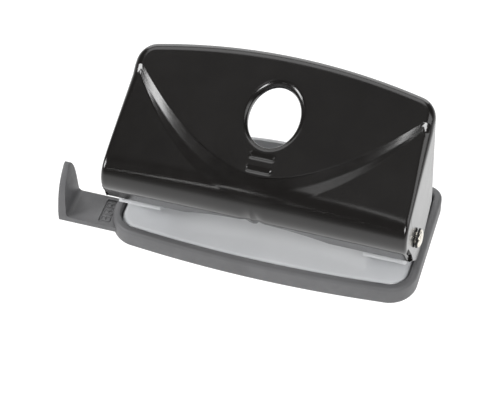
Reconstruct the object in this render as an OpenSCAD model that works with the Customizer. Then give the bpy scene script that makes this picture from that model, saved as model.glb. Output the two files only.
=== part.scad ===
// Two-hole desk punch with a pressed-steel lever, a chip tray and a sliding paper guide.
// Frame: X along the length, -Y to the paper side, +Z up, origin under the middle of the tray.

/* [Hole pattern] */
// Distance between the two punched holes
hole_spacing = 80; // [70:1:110]
// Radius of a punch pin
punch_r = 2.75; // [2.5:0.05:3.25]
// Running clearance of a pin in its guide bores and die holes
punch_clearance = 0.08; // [0.05:0.01:0.1]
// Distance from the hole centres to the edge of the paper
stop_margin = 12; // [11:0.5:14]

/* [Chip tray] */
// Length of tray beyond each hole centre
end_margin = 13; // [12.5:0.5:20]
// Depth of the tray, front to back
tray_depth = 52; // [50:1:66]
// Height of the tray rim
tray_height = 7.2; // [6.8:0.1:9]
// Width of the rim and thickness of the side walls
tray_wall = 2.8; // [2.4:0.1:3.2]
// Thickness of the tray floor
tray_floor = 1.2; // [0.8:0.1:1.4]
// How far the front edge bows out in the middle
front_bow = 2.2; // [0:0.2:3]
// Corner radius at the front
front_corner_r = 9.8; // [6:0.2:12]
// Corner radius at the rear
rear_corner_r = 5.5; // [5:0.5:8]
// Height of the chamfers that break the tray's edges
tray_chamfer = 0.7; // [0.3:0.1:1]
// Thickness of the ribs under the base plate
rib_t = 1.4; // [1:0.1:2]

/* [Base plate] */
// Thickness of the painted steel sheet of the base
plate_t = 1.2; // [1:0.1:1.4]
// How far the plate sits below the rim
plate_drop = 0.9; // [0.5:0.1:1.2]
// Gap between the plate and the rim
plate_gap = 0.3; // [0.2:0.1:0.5]
// How far the plate's edge turns down
plate_lip = 0.5; // [0.2:0.1:0.7]
// Distance from the paper stop to the rear of the tray
stop_setback = 7.5; // [7.5:0.5:12]
// Height of the arched paper stop above the plate
stop_height = 13.7; // [10:0.5:16]

/* [Brackets] */
// Thickness of the bracket sheet
bracket_t = 1.2; // [1:0.1:1.4]
// Height of the paper throat
throat_h = 2.7; // [2:0.1:3.4]
// Width of a bracket on the inner side of its punch
bracket_inner = 5.1; // [4.6:0.1:8]
// How far the mouth reaches in front of the pivot
mouth_reach = 5; // [3:0.5:5.5]
// How far the mouth flares up
mouth_rise = 6.1; // [3:0.1:6.5]
// Height of the upper guide over the lower one
guide_rise = 10.5; // [8:0.5:11]
// Gap between a bracket ear and the lever's cheek
ear_gap = 0.9; // [0.7:0.1:1.2]
// Radius of the bracket rivets
rivet_r = 0.8; // [0.7:0.1:0.9]

/* [Pivot] */
// Distance from the pivot back to the punches
lever_arm = 20; // [18:0.5:21]
// Height of the pivot
pivot_z = 24; // [22:0.5:25]
// Radius of the pivot rivets
pivot_r = 2; // [1.8:0.1:2.3]
// Radial clearance of the lever on its pivot rivets
pivot_clearance = 0.06; // [0.03:0.01:0.1]
// Radius of a pivot rivet's head
pivot_head_r = 3; // [2.8:0.1:3.4]
// Height of a pivot rivet's head
pivot_head_h = 1.3; // [1:0.1:1.6]
// Thickness of the washer under the head
washer_t = 0.5; // [0.4:0.1:0.8]

/* [Lever] */
// Thickness of the lever's sheet
lever_t = 1; // [0.8:0.1:1.2]
// How far the lever stays inside the tray's ends at lip height
lever_inset = 1.7; // [1.5:0.1:2.5]
// How far each cheek leans in, per unit of height
cheek_lean = 0.06; // [0:0.01:0.07]
// Slope of the top panel in degrees
panel_angle = 22.8; // [18:0.2:26]
// Radius of the rolled front
nose_r = 10; // [8:0.5:11]
// How far the rolled front reaches past the tray
nose_reach = 3.1; // [0:0.1:5]
// Height of the centre of the rolled front
nose_z = 36; // [34:0.5:40]
// Angle at which the lip curls back under, in degrees
lip_angle = 30; // [18:1:32]
// Height of the lip's lower edge at its ends
lip_z = 22.6; // [22:0.2:24]
// Distance from the rear of the tray to the rear of the lever
lever_setback = 6.5; // [3:0.5:8]
// Radius of the bend at the rear
rear_bend_r = 2.6; // [2:0.2:3]
// Height of the rear flange
rear_flange = 12; // [6:1:14]
// How far the rear edge bows out in the middle
rear_bow = 3.6; // [0:0.2:5]
// Corner radius of the lever seen on the panel
lever_corner_r = 7; // [5:0.5:7.5]
// How far the panel falls from its middle to its sides
crown = 1.3; // [0.5:0.1:2]
// Height of the raised shield above the panel
shield_h = 1.2; // [0.6:0.1:1.3]
// Half width of the oval finger hole
oval_a = 8.4; // [6:0.2:10]
// Half height of the oval finger hole along the slope
oval_b = 10.9; // [8:0.2:12]

/* [Springs] */
// Gap between a pin and the coils of its return spring
spring_gap = 0.6; // [0.5:0.1:1]
// Radius of the spring wire
wire_r = 0.35; // [0.3:0.05:0.4]
// Turns of a return spring
spring_turns = 5; // [4:1:6]
// Thickness of a retaining clip
clip_t = 0.8; // [0.6:0.1:1]

/* [Paper guide] */
// Distance from the middle to the face of the guide's stop
guide_stop = 68.5; // [67:0.5:80]
// Width of the guide bar
bar_w = 13.2; // [10:0.2:14]
// Thickness of the guide bar
bar_t = 2; // [1.6:0.1:2.1]
// Thickness of the guide's stop
tab_t = 2.8; // [1.6:0.1:3]
// Top of the stop
tab_z = 22.4; // [16:0.5:26]
// Running gap around the bar
bar_gap = 0.3; // [0.2:0.05:0.4]

/* [Hidden] */
$fn = 64;

// Places that follow from the sizes above
tray_half = hole_spacing / 2 + end_margin;
stop_y = tray_depth / 2 - stop_setback;
punch_x = hole_spacing / 2;
punch_y = stop_y - stop_margin;
pivot_y = punch_y - lever_arm;

plate_z1 = tray_height - plate_drop;
plate_z0 = plate_z1 - plate_t;
plate_inset = tray_wall + plate_gap;
plate_lip_t = plate_t - 0.3;
rib_z = plate_z0 - 0.1;

jaw_z0 = plate_z1 + throat_h;
jaw_z1 = jaw_z0 + bracket_t;
guide_z0 = jaw_z0 + guide_rise;
guide_z1 = guide_z0 + bracket_t;
guide_y = [punch_y - 5, punch_y + 3.5];
bracket_x0 = punch_x - bracket_inner;
mouth_y = pivot_y - mouth_reach;
bracket_rear = stop_y + bracket_t;
foot_y1 = bracket_rear + 2.6;
rivet_y = bracket_rear + 1.2;
bracket_rivet_x = [bracket_x0 + 3, bracket_x0 + 10];
stop_half = bracket_x0 - 0.3;
stop_rivet_x = [-0.75 * stop_half, 0, 0.75 * stop_half];

lever_half = tray_half - lever_inset;
lever_rear = tray_depth / 2 - lever_setback;
ear_x1 = lever_half - cheek_lean * (pivot_z - lip_z) - lever_t - ear_gap;
ear_x0 = ear_x1 - bracket_t;
ear_r = 5.5;

// Angle that the lever turns through, and the stroke that it gives
lever_swing = 15.5;
swing_rad = lever_swing * PI / 180;
dome_r = 6;
press_gap = 0.1;
press_z = pivot_z + 2 * lever_arm * swing_rad / 3 + dome_r + press_gap;
press_plate_t = 1.5;
press_half_d = 6;
punch_z0 = jaw_z0 + 0.4;
punch_z1 = press_z - press_gap;
clip_z1 = punch_z1 - 2.2;
clip_z0 = clip_z1 - clip_t;
groove_r = punch_r - 0.5;
spring_r = punch_r + spring_gap + wire_r;

washer_x0 = lever_half + cheek_lean * (lip_z - pivot_z + pivot_head_r + 0.4) + 0.15;
head_x0 = washer_x0 + washer_t;

// Rolled front of the lever, as a circle in the YZ plane
nose_y = -tray_depth / 2 - nose_reach + nose_r;
panel_normal = [-sin(panel_angle), cos(panel_angle)];
bend_y = lever_rear - rear_bend_r;
// Height of the panel at the middle plane
function panel_z(y) =
    nose_z + nose_r * panel_normal[1] + (y - nose_y - nose_r * panel_normal[0]) * tan(panel_angle);
function bend_z() = panel_z(bend_y + rear_bend_r * panel_normal[0]) - rear_bend_r * panel_normal[1];

bar_y0 = pivot_y - 6.9;
bar_y1 = bar_y0 + bar_w;
bar_z0 = tray_floor + 0.3;
bar_z1 = bar_z0 + bar_t;
bar_x1 = punch_x - 2;

// Points of an arc, from angle a0 to angle a1
function arc(x, y, r, a0, a1, steps) =
    [for (i = [0:steps]) let (a = a0 + (a1 - a0) * i / steps) [x + r * cos(a), y + r * sin(a)]];

// Outline of the tray and of what nests in it, moved inwards by a distance
function tray_points(inset) =
    let (half = tray_half - inset,
         front = -tray_depth / 2 + front_bow + inset,
         rear = tray_depth / 2 - inset,
         rf = max(front_corner_r - inset, 1),
         rr = max(rear_corner_r - inset, 1),
         run = half - rf)
    concat(
        arc(-run, front + rf, rf, 180, 270, 8),
        [for (i = [1:15]) let (x = run * (i / 8 - 1)) [x, front - front_bow * (1 - pow(x / run, 2))]],
        arc(run, front + rf, rf, 270, 360, 8),
        arc(half - rr, rear - rr, rr, 0, 90, 6),
        arc(rr - half, rear - rr, rr, 90, 180, 6));

module tray_slab(inset, z0, z1)
    translate([0, 0, z0]) linear_extrude(z1 - z0) polygon(tray_points(inset));

// A flat outline in YZ, extruded along X
module along_x(x0, x1) translate([x0, 0, 0]) rotate([90, 0, 90]) linear_extrude(x1 - x0) children();

// A flat outline in XZ, extruded along Y
module along_y(y0, y1) translate([0, y1, 0]) rotate([90, 0, 0]) linear_extrude(y1 - y0) children();

// The mirrored copy for the left side, or the piece itself for the right
module on_side(side) mirror([side < 0 ? 1 : 0, 0, 0]) children();

module block(x, y, z) translate([x[0], y[0], z[0]]) cube([x[1] - x[0], y[1] - y[0], z[1] - z[0]]);

// ---- Chip tray and paper guide ----

module tray_ribs() {
    clear_inset = plate_inset + plate_lip_t + 0.4;
    inner = tray_half - clear_inset;
    rib_y = bar_y1 + bar_gap + 1.6;
    block([-inner, inner], [rib_y, rib_y + rib_t], [0.5, rib_z]);
    block([-0.3 * punch_x, 0.3 * punch_x], [bar_y0 - bar_gap - 0.7, bar_y0 - bar_gap], [0.5, rib_z - 0.6]);
    for (x = [-15, 15])
        block([x, x + rib_t], [rib_y, tray_depth / 2 - clear_inset], [0.5, rib_z]);
}

module chip_tray() color([0.31, 0.31, 0.32]) difference() {
    union() {
        difference() {
            union() {
                tray_slab(tray_chamfer, 0, tray_chamfer);
                tray_slab(0, tray_chamfer, tray_height - tray_chamfer);
                tray_slab(tray_chamfer, tray_height - tray_chamfer, tray_height);
            }
            tray_slab(tray_wall, tray_floor, tray_height + 1);
        }
        tray_ribs();
    }
    block([-tray_half - 1, -tray_half + front_corner_r + 1],
          [bar_y0 - bar_gap, bar_y1 + bar_gap], [bar_z0 - 0.2, bar_z1 + bar_gap]);
}

// Stop of the guide: wide at the bar and rounded to a narrow top
function tab_points() =
    let (rise = tab_z - bar_z1, steps = 8)
    concat(
        [[bar_y1, bar_z0], [bar_y1, bar_z1]],
        [for (i = [1:steps]) let (s = i / steps)
            [bar_y1 - bar_w * (0.16 * s + 0.22 * pow(s, 5)), bar_z1 + rise * s]],
        [for (i = [0:steps]) let (s = 1 - i / steps)
            [bar_y0 + bar_w * (0.1 * s + 0.42 * pow(s, 4)), bar_z1 + rise * s]],
        [[bar_y0, bar_z0]]);

module paper_guide() color([0.3, 0.3, 0.31]) {
    recess_x = -tray_half - 4.6;
    difference() {
        block([-guide_stop, bar_x1], [bar_y0, bar_y1], [bar_z0, bar_z1]);
        block([recess_x, recess_x + 4.2], [bar_y0 + 1.2, bar_y1 - 1.2], [bar_z1 - 0.5, bar_z1 + 1]);
    }
    for (i = [-1:1])
        translate([recess_x + 2.1, (bar_y0 + bar_y1) / 2 + 3.3 * i, bar_z1 - 0.5])
            linear_extrude(0.35) square([2.8, 0.9], center = true);
    along_x(-guide_stop - tab_t, -guide_stop) polygon(tab_points());
}

// Leaf that bows against the bar and holds it where it is put
module guide_spring() {
    len = 20;
    foot_y = bar_y1 + bar_gap + 1.6;
    bow = 1.3;
    leaf_t = 0.35;
    function leaf(x) = foot_y - leaf_t - bow * pow(sin(180 * x / len), 2);
    color([0.75, 0.75, 0.76]) translate([-30, 0, bar_z0 + 0.1]) linear_extrude(bar_t - 0.2) polygon(concat(
        [for (i = [0:16]) [len * i / 16, leaf(len * i / 16)]],
        [for (i = [16:-1:0]) [len * i / 16, leaf(len * i / 16) + leaf_t]]));
}

// ---- Base ----

module base_plate() color([0.8, 0.81, 0.82]) difference() {
    union() {
        tray_slab(plate_inset, plate_z0 - plate_lip, plate_z1 - 0.4);
        tray_slab(plate_inset + 0.4, plate_z1 - 0.4, plate_z1);
    }
    tray_slab(plate_inset + plate_lip_t, plate_z0 - plate_lip - 1, plate_z0);
    for (side = [-1, 1])
        translate([side * punch_x, punch_y, plate_z0 - 1]) cylinder(r = punch_r + punch_clearance, h = plate_t + 2);
    each_rivet() translate([0, 0, plate_z0 - 1]) cylinder(r = rivet_r, h = plate_t + 2);
}

// The rivets that hold the brackets and the paper stop
module each_rivet() {
    for (x = stop_rivet_x) translate([x, rivet_y, 0]) children();
    for (side = [-1, 1], x = bracket_rivet_x) translate([side * x, rivet_y, 0]) children();
}

module bracket_rivets() color([0.78, 0.78, 0.78]) each_rivet() {
    translate([0, 0, plate_z0 - 0.3]) cylinder(r = rivet_r, h = 0.3 + plate_t + bracket_t);
    translate([0, 0, plate_z1 + bracket_t]) cylinder(r = rivet_r + 0.3, h = 0.5);
}

// Wall behind the paper, arched along its top
module paper_stop() color([0.78, 0.79, 0.8]) {
    fall = stop_height * 0.45;
    top = plate_z1 + stop_height;
    along_y(stop_y, bracket_rear) polygon(concat(
        [[-stop_half, plate_z1], [stop_half, plate_z1]],
        [for (i = [12:-1:-12]) [stop_half * i / 12, top - fall * pow(i / 12, 2)]]));
    difference() {
        block([-stop_half, stop_half], [stop_y + bracket_t, foot_y1], [plate_z1, plate_z1 + bracket_t]);
        each_rivet() translate([0, 0, plate_z1 - 1]) cylinder(r = rivet_r, h = bracket_t + 2);
    }
}

// Side view of the lower guide with its flared mouth
function jaw_points() =
    let (flare_y = mouth_y + 1.25 * mouth_rise)
    [[bracket_rear, jaw_z0], [bracket_rear, jaw_z1], [flare_y + 0.3, jaw_z1],
     [mouth_y + 0.9, jaw_z1 + mouth_rise], [mouth_y, jaw_z1 + mouth_rise - 0.9], [flare_y, jaw_z0]];

// Side view of the ear that carries the pivot
function ear_points() = concat(
    [[bracket_rear, jaw_z0], [bracket_rear, jaw_z1 + 1.5], [guide_y[1] + 0.2, jaw_z1 + 1.9],
     [guide_y[1], guide_z1], [guide_y[0], guide_z1]],
    arc(pivot_y, pivot_z, ear_r, 40, 180, 10),
    [[pivot_y - ear_r + 0.7, jaw_z1 + mouth_rise], [mouth_y + 1.25 * mouth_rise, jaw_z0 + 0.5]]);

module bracket(side) on_side(side) color([0.78, 0.79, 0.8]) difference() {
    union() {
        block([bracket_x0, ear_x0], [stop_y, foot_y1], [plate_z1, plate_z1 + bracket_t]);
        block([bracket_x0, ear_x1], [stop_y, bracket_rear], [plate_z1, jaw_z1]);
        along_x(bracket_x0, ear_x1) polygon(jaw_points());
        along_x(ear_x0, ear_x1) polygon(ear_points());
        block([bracket_x0, bracket_x0 + bracket_t], guide_y, [jaw_z0, guide_z1]);
        block([bracket_x0, ear_x1], guide_y, [guide_z0, guide_z1]);
    }
    translate([punch_x, punch_y, jaw_z0 - 1]) cylinder(r = punch_r + punch_clearance, h = guide_rise + 4);
    translate([ear_x0 - 1, pivot_y, pivot_z]) rotate([0, 90, 0]) cylinder(r = pivot_r, h = bracket_t + 2);
    for (x = bracket_rivet_x)
        translate([x, rivet_y, plate_z1 - 1]) cylinder(r = rivet_r, h = bracket_t + 2);
}

module left_bracket() bracket(-1);
module right_bracket() bracket(1);

// ---- Punches ----

// Pin with a domed top, a clip groove and a hollow-ground cutting end
module punch(side) color([0.72, 0.72, 0.73]) translate([side * punch_x, punch_y, 0]) {
    grind_r = 5;
    difference() {
        intersection() {
            translate([0, 0, punch_z0]) cylinder(r = punch_r, h = punch_z1 - punch_z0);
            union() {
                translate([0, 0, punch_z1 - dome_r]) sphere(r = dome_r);
                translate([0, 0, punch_z0 - 1]) cylinder(r = dome_r, h = punch_z1 - dome_r - punch_z0 + 1);
            }
        }
        translate([0, 0, clip_z0]) difference() {
            cylinder(r = punch_r + 1, h = clip_t);
            translate([0, 0, -1]) cylinder(r = groove_r, h = clip_t + 2);
        }
        translate([0, -punch_r - 1, punch_z0 - grind_r + 0.9]) rotate([-90, 0, 0])
            cylinder(r = grind_r, h = 2 * punch_r + 2);
    }
}

module left_punch() punch(-1);
module right_punch() punch(1);

// Open retaining ring that sits in the groove of the pin
module clip(side) color([0.35, 0.35, 0.36]) translate([side * punch_x, punch_y, clip_z0]) difference() {
    cylinder(r = spring_r + wire_r + 0.5, h = clip_t);
    translate([0, 0, -1]) cylinder(r = groove_r, h = clip_t + 2);
    translate([0, -groove_r * 0.75, -1]) cube([spring_r + 3, groove_r * 1.5, clip_t + 2]);
}

module left_clip() clip(-1);
module right_clip() clip(1);

// Coil swept along a helix, with its last turns lying nearly flat
module return_spring(side) {
    sides = 6;
    steps = 14 * spring_turns;
    z0 = guide_z1 + wire_r;
    rise = clip_z0 - wire_r - z0 - 0.02;
    function ease(t) = (t - sin(360 * t) / (2.6 * PI));
    function ring(i) =
        let (a = 360 * spring_turns * i / steps, z = z0 + rise * ease(i / steps))
        [for (k = [0:sides - 1]) let (b = 360 * k / sides, r = spring_r + wire_r * cos(b))
            [r * cos(a), r * sin(a), z + wire_r * sin(b)]];
    points = [for (i = [0:steps]) each ring(i)];
    last = steps * sides;
    faces = concat(
        [[for (k = [0:sides - 1]) k]],
        [for (i = [0:steps - 1], k = [0:sides - 1]) let (n = (k + 1) % sides, p = i * sides)
            [p + k, p + sides + k, p + sides + n, p + n]],
        [[for (k = [sides - 1:-1:0]) last + k]]);
    color([0.7, 0.7, 0.71]) translate([side * punch_x, punch_y, 0]) polyhedron(points, faces);
}

module left_spring() return_spring(-1);
module right_spring() return_spring(1);

// ---- Pivots ----

module pivot_rivet(side) on_side(side) color([0.9, 0.88, 0.84])
    translate([0, pivot_y, pivot_z]) rotate([0, 90, 0]) {
        cap_r = (pow(pivot_head_r, 2) + pow(pivot_head_h * 0.6, 2)) / (2 * pivot_head_h * 0.6);
        translate([0, 0, ear_x0 - 0.8]) cylinder(r = pivot_r + 0.8, h = 0.8);
        translate([0, 0, ear_x0]) cylinder(r = pivot_r, h = head_x0 - ear_x0);
        intersection() {
            translate([0, 0, head_x0]) cylinder(r = pivot_head_r, h = pivot_head_h);
            translate([0, 0, head_x0 + pivot_head_h - cap_r]) sphere(r = cap_r, $fn = 96);
        }
    }

module left_pivot_rivet() pivot_rivet(-1);
module right_pivot_rivet() pivot_rivet(1);

module pivot_washer(side) on_side(side) color([0.12, 0.12, 0.12])
    translate([washer_x0, pivot_y, pivot_z]) rotate([0, 90, 0]) difference() {
        cylinder(r = pivot_head_r + 0.3, h = washer_t);
        translate([0, 0, -1]) cylinder(r = pivot_r, h = washer_t + 2);
    }

module left_pivot_washer() pivot_washer(-1);
module right_pivot_washer() pivot_washer(1);

// ---- Lever ----

// Side view of the lever, moved inwards by a distance and outwards below
function lever_side(inset) =
    let (r = nose_r - inset,
         under = 180 + lip_angle,
         lip_y = nose_y + r * cos(under) + (nose_z + r * sin(under) - lip_z) * tan(lip_angle),
         rear = lever_rear - inset,
         br = max(rear_bend_r - inset, 0.5),
         top = bend_z() + (rear_bend_r - inset) - br,
         drop = inset > 0 ? 30 : 0,
         back = pivot_y + 28)
    concat(
        arc(nose_y, nose_z, r, under, 90 + panel_angle, 12),
        arc(rear - br, top, br, 90 + panel_angle, 0, 8),
        inset > 0
            ? [[rear, -drop], [lip_y, -drop], [lip_y, lip_z]]
            : concat([[rear, pivot_z + 8], [back, pivot_z - 3], [pivot_y + 13, pivot_z - 10.6]],
                     arc(pivot_y + 5.5, pivot_z - 5.5, 8, 285, 235, 5),
                     [[lip_y, lip_z]]));

// Side view with the panel raised to the height of the shield
function shield_side(inset) =
    let (lift = shield_h * panel_normal)
    [for (p = lever_side(inset)) p[1] > nose_z ? p + lift : p];

// Lays children drawn in the panel's own plane onto the panel
module on_panel() translate([0, 0, panel_z(0)]) rotate([panel_angle, 0, 0]) children();

// Crowned top of the panel, as a section across the lever
module crown_cut(inset, lift) {
    half = lever_half + 2;
    fall = crown * pow(half / lever_half, 2);
    on_panel() along_y(-60, 60) polygon(concat(
        [[-half, -100], [half, -100]],
        [for (i = [10:-1:-10]) [half * i / 10, lift - inset - fall * pow(i / 10, 2)]]));
}

// Plan of one half of the lever, leaning with its cheek: bowed rear edge and a round corner
module half_plan(side, inset) {
    r = lever_corner_r - inset;
    half = lever_half - inset;
    run = half - r;
    rear = lever_rear - inset;
    on_side(side) translate([0, 0, lip_z]) rotate([0, -atan(cheek_lean), 0]) translate([0, 0, -60])
        linear_extrude(130) polygon(concat(
            [[-80, -80], [half, -80]],
            arc(run, rear - rear_bow - r, r, 0, 90, 8),
            [for (i = [9:-1:0]) [run * i / 10, rear - rear_bow * pow(i / 10, 2)]],
            [[-80, rear]]));
}

// Edge of the shield: a smile that runs from cheek to cheek, in the panel's plane
smile_low = -26.5;
smile_rise = 33;
smile_half = 48.5;
function smile_y(x) = smile_low + smile_rise * pow(abs(x) / smile_half, 1.7);

module shield_zone(inset) on_panel() translate([0, 0, -20]) linear_extrude(40) polygon(concat(
    [for (i = [-16:16]) let (x = (smile_half + 4) * i / 16) [x, smile_y(x) + inset]],
    [[smile_half + 4, 60], [-smile_half - 4, 60]]));

module lever_body(inset, lift) intersection() {
    along_x(-80, 80) polygon(lift > 0 ? shield_side(inset) : lever_side(inset));
    crown_cut(inset, lift);
    half_plan(-1, inset);
    half_plan(1, inset);
}

module shield_body(inset) intersection() {
    lever_body(inset, shield_h);
    shield_zone(inset);
}

// Arch that is cut out of the lip, with the nib left in its middle
module lip_arch() {
    half = 24.5;
    rise = 8;
    nib = 1.7;
    nib_z = lip_z + 5.6;
    function edge(x) = lip_z + rise * (1 - pow(x / half, 2));
    along_y(-60, nose_y - 1) polygon(concat(
        [[-half, -10], [-half, lip_z]],
        [for (i = [7:-1:1]) [-half * i / 8, edge(half * i / 8)]],
        [[-nib, edge(nib)], [-0.7 * nib, nib_z], [0.7 * nib, nib_z], [nib, edge(nib)]],
        [for (i = [1:7]) [half * i / 8, edge(half * i / 8)]],
        [[half, lip_z], [half, -10]]));
}

module oval(a, b) polygon([for (i = [0:47]) [a * cos(7.5 * i), b * sin(7.5 * i)]]);

module lever() color([0.11, 0.1, 0.1]) {
    oval_y = -2.6;
    collar = 2.4;
    wall = 0.9;
    difference() {
        union() {
            difference() {
                union() {
                    lever_body(0, 0);
                    shield_body(0);
                }
                lever_body(lever_t, 0);
                shield_body(lever_t);
            }
            on_panel() translate([0, oval_y, shield_h - lever_t / 2 - collar])
                linear_extrude(collar) oval(oval_a + wall, oval_b + wall);
        }
        on_panel() translate([0, oval_y, -10]) linear_extrude(20) oval(oval_a, oval_b);
        for (y = [-17.2, -21.8])
            on_panel() translate([0, y, shield_h - 0.5]) linear_extrude(3) square([8, 1.4], center = true);
        lip_arch();
        block([-lever_half + 5, lever_half - 5], [pivot_y + 14, 40], [-5, bend_z() - rear_flange]);
        for (side = [-1, 1])
            translate([side * lever_half, pivot_y, pivot_z]) rotate([0, 90, 0])
                cylinder(r = pivot_r + pivot_clearance, h = 8, center = true);
    }
}

// Plate inside each cheek that pushes its punch down
module press_plate(side) color([0.66, 0.66, 0.68]) intersection() {
    on_side(side) union() {
        block([punch_x - 5.5, tray_half], [punch_y - press_half_d, punch_y + press_half_d],
              [press_z, press_z + press_plate_t]);
        along_x(ear_x1 - 1.2, tray_half) polygon([
            [punch_y - press_half_d, press_z], [punch_y + press_half_d, press_z],
            [punch_y + press_half_d, press_z + 5], [punch_y, press_z + 9], [punch_y - press_half_d, press_z + 5]]);
    }
    half_plan(side, lever_t);
}

module left_press_plate() press_plate(-1);
module right_press_plate() press_plate(1);

chip_tray();
paper_guide();
guide_spring();
base_plate();
paper_stop();
left_bracket();
right_bracket();
bracket_rivets();
left_punch();
right_punch();
left_clip();
right_clip();
left_spring();
right_spring();
left_pivot_rivet();
right_pivot_rivet();
left_pivot_washer();
right_pivot_washer();
lever();
left_press_plate();
right_press_plate();
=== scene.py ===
"""Looks of a two-hole desk punch: pressed steel lever, painted base, moulded tray and paper guide.

Lengths inside the classes are in millimetres, and every mesh is written in metres in the frame of the
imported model: X along the length, -Y to the paper side, +Z up.
"""

import logging
import math
from dataclasses import dataclass, field
from enum import Enum
from typing import Callable, Optional, Sequence

import bmesh
import bpy
import numpy as np
from mathutils import Matrix, Vector


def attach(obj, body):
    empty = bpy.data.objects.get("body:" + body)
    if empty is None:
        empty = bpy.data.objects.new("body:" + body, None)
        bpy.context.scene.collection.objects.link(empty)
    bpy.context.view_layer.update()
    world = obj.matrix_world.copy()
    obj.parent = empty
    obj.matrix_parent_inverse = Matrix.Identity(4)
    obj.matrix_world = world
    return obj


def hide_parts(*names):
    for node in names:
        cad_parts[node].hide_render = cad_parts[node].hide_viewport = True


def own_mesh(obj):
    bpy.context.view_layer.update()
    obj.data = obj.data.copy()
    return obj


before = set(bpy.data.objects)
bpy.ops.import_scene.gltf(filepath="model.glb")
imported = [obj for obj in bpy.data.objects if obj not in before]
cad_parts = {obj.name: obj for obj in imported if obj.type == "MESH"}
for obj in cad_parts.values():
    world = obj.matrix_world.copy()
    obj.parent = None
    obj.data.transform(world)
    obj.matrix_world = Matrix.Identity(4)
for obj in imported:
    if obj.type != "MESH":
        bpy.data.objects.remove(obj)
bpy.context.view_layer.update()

MM = 0.001
log = logging.getLogger("desk_punch")
Point = tuple[float, float, float]
Flat = tuple[float, float]
SIDES = ((-1, "left"), (1, "right"))


# ---- Finishes ----


class Grain(Enum):
    """How the surface of a finish is broken up."""

    ORANGE_PEEL = "orange peel of sprayed paint"
    MOULDED = "spark-eroded grain of a mould"
    GROUND = "fine lines round a turned part"
    PLATED = "soft unevenness under plating"


GRAIN_STRETCH: dict[Grain, Point] = {
    Grain.ORANGE_PEEL: (1.0, 1.0, 1.0),
    Grain.MOULDED: (1.0, 1.0, 1.0),
    Grain.GROUND: (0.12, 0.12, 5.0),
    Grain.PLATED: (1.0, 1.0, 1.0),
}


def shader_node(tree: bpy.types.NodeTree, kind: str, **values: object) -> bpy.types.Node:
    """Adds a shader node with constants on its inputs.

    Args:
        tree: node tree to add to.
        kind: type of the node, without its prefix.
        values: constants by input name, with underscores for spaces.

    Returns:
        The node.
    """
    node = tree.nodes.new(f"ShaderNode{kind}")
    for key, value in values.items():
        node.inputs[key.replace("_", " ")].default_value = value
    return node


@dataclass(frozen=True)
class Finish:
    """A paint, plastic or metal, with its colour drift, gloss and relief.

    Attributes:
        name: name of the material.
        dark: colour in the deeper patches.
        light: colour in the lighter patches.
        rough: lowest and highest roughness.
        grain: kind of relief.
        grain_mm: size of one grain.
        relief_mm: height of the grain.
        drift_mm: size of the patches in which the colour drifts.
        metallic: 1 for bare metal and 0 for the rest.
        coat: weight of a clear coat.
        coat_rough: roughness of the clear coat.
        ior: refractive index.
    """

    name: str
    dark: Point
    light: Point
    rough: tuple[float, float]
    grain: Grain
    grain_mm: float
    relief_mm: float
    drift_mm: float = 9.0
    metallic: float = 0.0
    coat: float = 0.0
    coat_rough: float = 0.1
    ior: float = 1.5

    def material(self) -> bpy.types.Material:
        """The node material of this finish, built once and shared.

        Returns:
            The material.
        """
        made = bpy.data.materials.get(self.name)
        if made is not None:
            return made
        made = bpy.data.materials.new(self.name)
        made.use_nodes = True
        tree = made.node_tree
        tree.nodes.clear()
        output = tree.nodes.new("ShaderNodeOutputMaterial")
        shader = shader_node(tree, "BsdfPrincipled", Metallic=self.metallic, IOR=self.ior,
                             Coat_Weight=self.coat, Coat_Roughness=self.coat_rough)
        place = tree.nodes.new("ShaderNodeTexCoord").outputs["Object"]
        stretch = shader_node(tree, "Mapping", Scale=GRAIN_STRETCH[self.grain])
        tree.links.new(place, stretch.inputs["Vector"])

        drift = self._noise(tree, place, self.drift_mm, 3.0)
        tint = tree.nodes.new("ShaderNodeValToRGB")
        ends = ((0.35, self.dark), (0.68, self.light))
        for stop, (position, colour) in zip(tint.color_ramp.elements, ends):
            stop.position = position
            stop.color = (*colour, 1.0)
        tree.links.new(drift, tint.inputs["Fac"])
        tree.links.new(tint.outputs["Color"], shader.inputs["Base Color"])

        wear = self._noise(tree, stretch.outputs["Vector"], self.drift_mm * 0.28, 5.0)
        gloss = shader_node(tree, "MapRange", From_Min=0.3, From_Max=0.7,
                            To_Min=self.rough[0], To_Max=self.rough[1])
        tree.links.new(wear, gloss.inputs["Value"])
        tree.links.new(gloss.outputs["Result"], shader.inputs["Roughness"])

        relief = self._noise(tree, stretch.outputs["Vector"], self.grain_mm, 2.0)
        bump = shader_node(tree, "Bump", Strength=1.0, Distance=self.relief_mm * MM)
        tree.links.new(relief, bump.inputs["Height"])
        tree.links.new(bump.outputs["Normal"], shader.inputs["Normal"])
        tree.links.new(shader.outputs["BSDF"], output.inputs["Surface"])
        return made

    @staticmethod
    def _noise(
        tree: bpy.types.NodeTree, place: bpy.types.NodeSocket, size_mm: float, detail: float
    ) -> bpy.types.NodeSocket:
        """A noise node whose patches are about size_mm across.

        Args:
            tree: node tree of the material.
            place: socket that gives the position.
            size_mm: size of a patch.
            detail: octaves of finer noise.

        Returns:
            The noise's value socket.
        """
        noise = shader_node(tree, "TexNoise", Scale=1.0 / (size_mm * MM), Detail=detail)
        tree.links.new(place, noise.inputs["Vector"])
        return noise.outputs["Fac"]


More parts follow.
